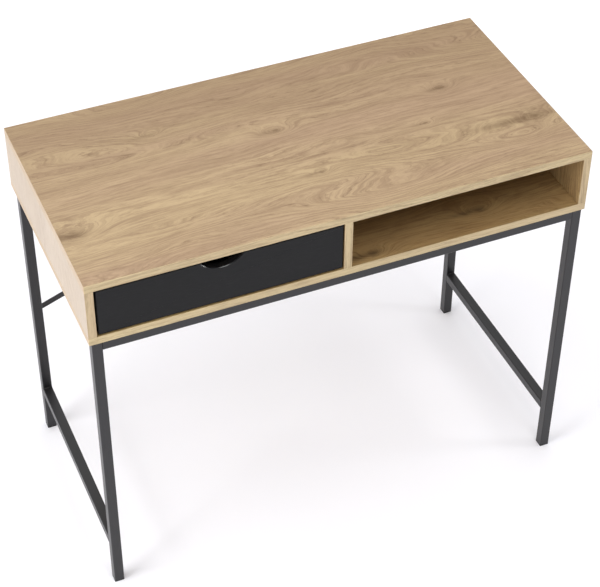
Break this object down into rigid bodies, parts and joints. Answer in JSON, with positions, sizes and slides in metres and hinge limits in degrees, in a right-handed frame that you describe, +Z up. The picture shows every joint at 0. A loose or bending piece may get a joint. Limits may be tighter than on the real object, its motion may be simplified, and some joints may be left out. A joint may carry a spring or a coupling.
{
  "type": "writing desk with drawer",
  "caption": "Oak-faced writing desk with an inset black drawer, an open compartment and a black square-tube frame braced at the back.",
  "frame": {"origin": "on the floor, under the centre of the desk top", "axes": "+Z up, the user sits on the -Y side, +X to the right as seen by the user"},
  "size_m": [1, 0.5, 0.794],
  "materials": {
    "oak_laminate": "satin oak-grain laminate on chipboard",
    "black_laminate": "matte near-black laminate on chipboard",
    "coated_steel": "fine-textured black powder coat",
    "black_plastic": "moulded, matte",
    "white_steel": "white epoxy coat",
    "nylon": "moulded, natural white",
    "zinc_plate": "bright zinc plate"
  },
  "bodies": {
    "desk": {"top_panel": "oak_laminate", "bottom_panel": "oak_laminate", "left_side_panel": "oak_laminate", "right_side_panel": "oak_laminate", "centre_divider": "oak_laminate", "back_panel": "oak_laminate", "left_front_joint_screw": "zinc_plate", "left_front_cam": "zinc_plate", "left_front_cam_bolt": "zinc_plate", "left_rear_joint_screw": "zinc_plate", "left_rear_cam": "zinc_plate", "left_rear_cam_bolt": "zinc_plate", "right_front_joint_screw": "zinc_plate", "right_front_cam": "zinc_plate", "right_front_cam_bolt": "zinc_plate", "right_rear_joint_screw": "zinc_plate", "right_rear_cam": "zinc_plate", "right_rear_cam_bolt": "zinc_plate", "divider_front_joint_screw": "zinc_plate", "divider_rear_joint_screw": "zinc_plate", "front_left_leg": "coated_steel", "front_right_leg": "coated_steel", "rear_left_leg": "coated_steel", "rear_right_leg": "coated_steel", "front_left_foot_plug": "black_plastic", "front_right_foot_plug": "black_plastic", "rear_left_foot_plug": "black_plastic", "rear_right_foot_plug": "black_plastic", "left_lower_stretcher": "coated_steel", "right_lower_stretcher": "coated_steel", "left_side_rail": "coated_steel", "right_side_rail": "coated_steel", "front_rail": "coated_steel", "rear_rail": "coated_steel", "left_front_rail_screw": "zinc_plate", "left_rear_rail_screw": "zinc_plate", "right_front_rail_screw": "zinc_plate", "right_rear_rail_screw": "zinc_plate", "left_footed_brace_bar": "coated_steel", "right_footed_brace_bar": "coated_steel", "left_bar_leg_bolt": "zinc_plate", "left_bar_rail_bolt": "zinc_plate", "right_bar_leg_bolt": "zinc_plate", "right_bar_rail_bolt": "zinc_plate", "right_bar_leg_spacer": "zinc_plate", "right_bar_rail_spacer": "zinc_plate", "brace_crossing_rivet": "zinc_plate", "left_cabinet_runner": "white_steel", "right_cabinet_runner": "white_steel"},
    "drawer": {"drawer_front": "black_laminate", "drawer_left_side": "black_laminate", "drawer_right_side": "black_laminate", "drawer_back": "black_laminate", "drawer_bottom": "black_laminate", "left_drawer_runner": "white_steel", "right_drawer_runner": "white_steel"},
    "left_front_wheel": {"left_front_roller": "nylon"},
    "right_front_wheel": {"right_front_roller": "nylon"},
    "left_rear_wheel": {"left_rear_roller": "nylon"},
    "right_rear_wheel": {"right_rear_roller": "nylon"}
  },
  "joints": [
    {"name": "drawer_slide", "type": "slide", "parent": "desk", "child": "drawer", "axis": [0, -1, 0], "range_m": [0, 0.3]},
    {"name": "left_front_roller_spin", "type": "hinge", "parent": "desk", "child": "left_front_wheel", "pos_m": [-0.4783, -0.214, 0.696], "axis": [1, 0, 0], "range_deg": [0, 1563]},
    {"name": "right_front_roller_spin", "type": "hinge", "parent": "desk", "child": "right_front_wheel", "pos_m": [-0.0137, -0.214, 0.696], "axis": [1, 0, 0], "range_deg": [0, 1563]},
    {"name": "left_rear_roller_spin", "type": "hinge", "parent": "drawer", "child": "left_rear_wheel", "pos_m": [-0.4783, 0.153, 0.6955], "axis": [1, 0, 0], "range_deg": [0, 1563]},
    {"name": "right_rear_roller_spin", "type": "hinge", "parent": "drawer", "child": "right_rear_wheel", "pos_m": [-0.0137, 0.153, 0.6955], "axis": [1, 0, 0], "range_deg": [0, 1563]}
  ],
  "couplings": [
    {"joint": "left_front_roller_spin", "follows": "drawer_slide", "rad_per_m": 90.909},
    {"joint": "right_front_roller_spin", "follows": "drawer_slide", "rad_per_m": 90.909},
    {"joint": "left_rear_roller_spin", "follows": "drawer_slide", "rad_per_m": 90.909},
    {"joint": "right_rear_roller_spin", "follows": "drawer_slide", "rad_per_m": 90.909}
  ]
}
